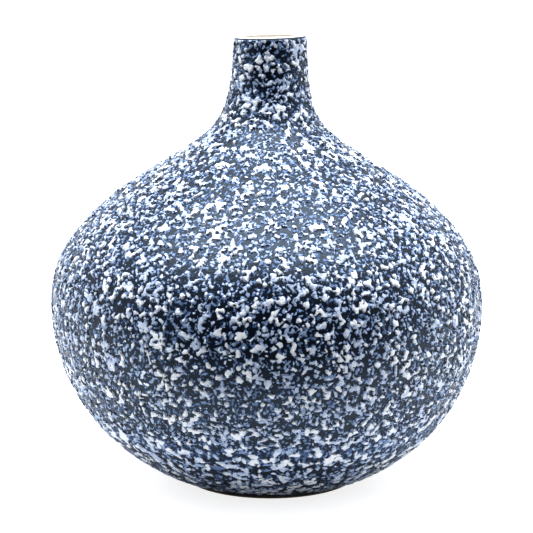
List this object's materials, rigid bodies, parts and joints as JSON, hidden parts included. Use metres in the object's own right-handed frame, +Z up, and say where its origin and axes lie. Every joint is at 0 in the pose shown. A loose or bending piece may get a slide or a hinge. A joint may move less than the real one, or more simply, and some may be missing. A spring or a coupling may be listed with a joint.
{
  "type": "bud vase",
  "caption": "Squat round-bellied ceramic bud vase with a short narrow neck, foot ring, dark blue glaze and raised white splatter",
  "frame": {"origin": "centre of the foot ring's resting face", "axes": "+Z up along the vase's turning axis, towards the lip; X and Y are level and alike"},
  "size_m": [0.1, 0.1, 0.1037],
  "materials": {
    "bare_clay": "matte",
    "dark_blue_glaze": "satin",
    "white_splatter_glaze": "satin",
    "white_lip_glaze": "gloss",
    "cream_liner_glaze": "gloss",
    "cream_recess_glaze": "gloss"
  },
  "bodies": {
    "root": {"clay_body": "bare_clay", "ground_glaze": "dark_blue_glaze", "splatter_glaze": "white_splatter_glaze", "lip_glaze": "white_lip_glaze", "liner_glaze": "cream_liner_glaze", "recess_glaze": "cream_recess_glaze"}
  },
  "joints": []
}
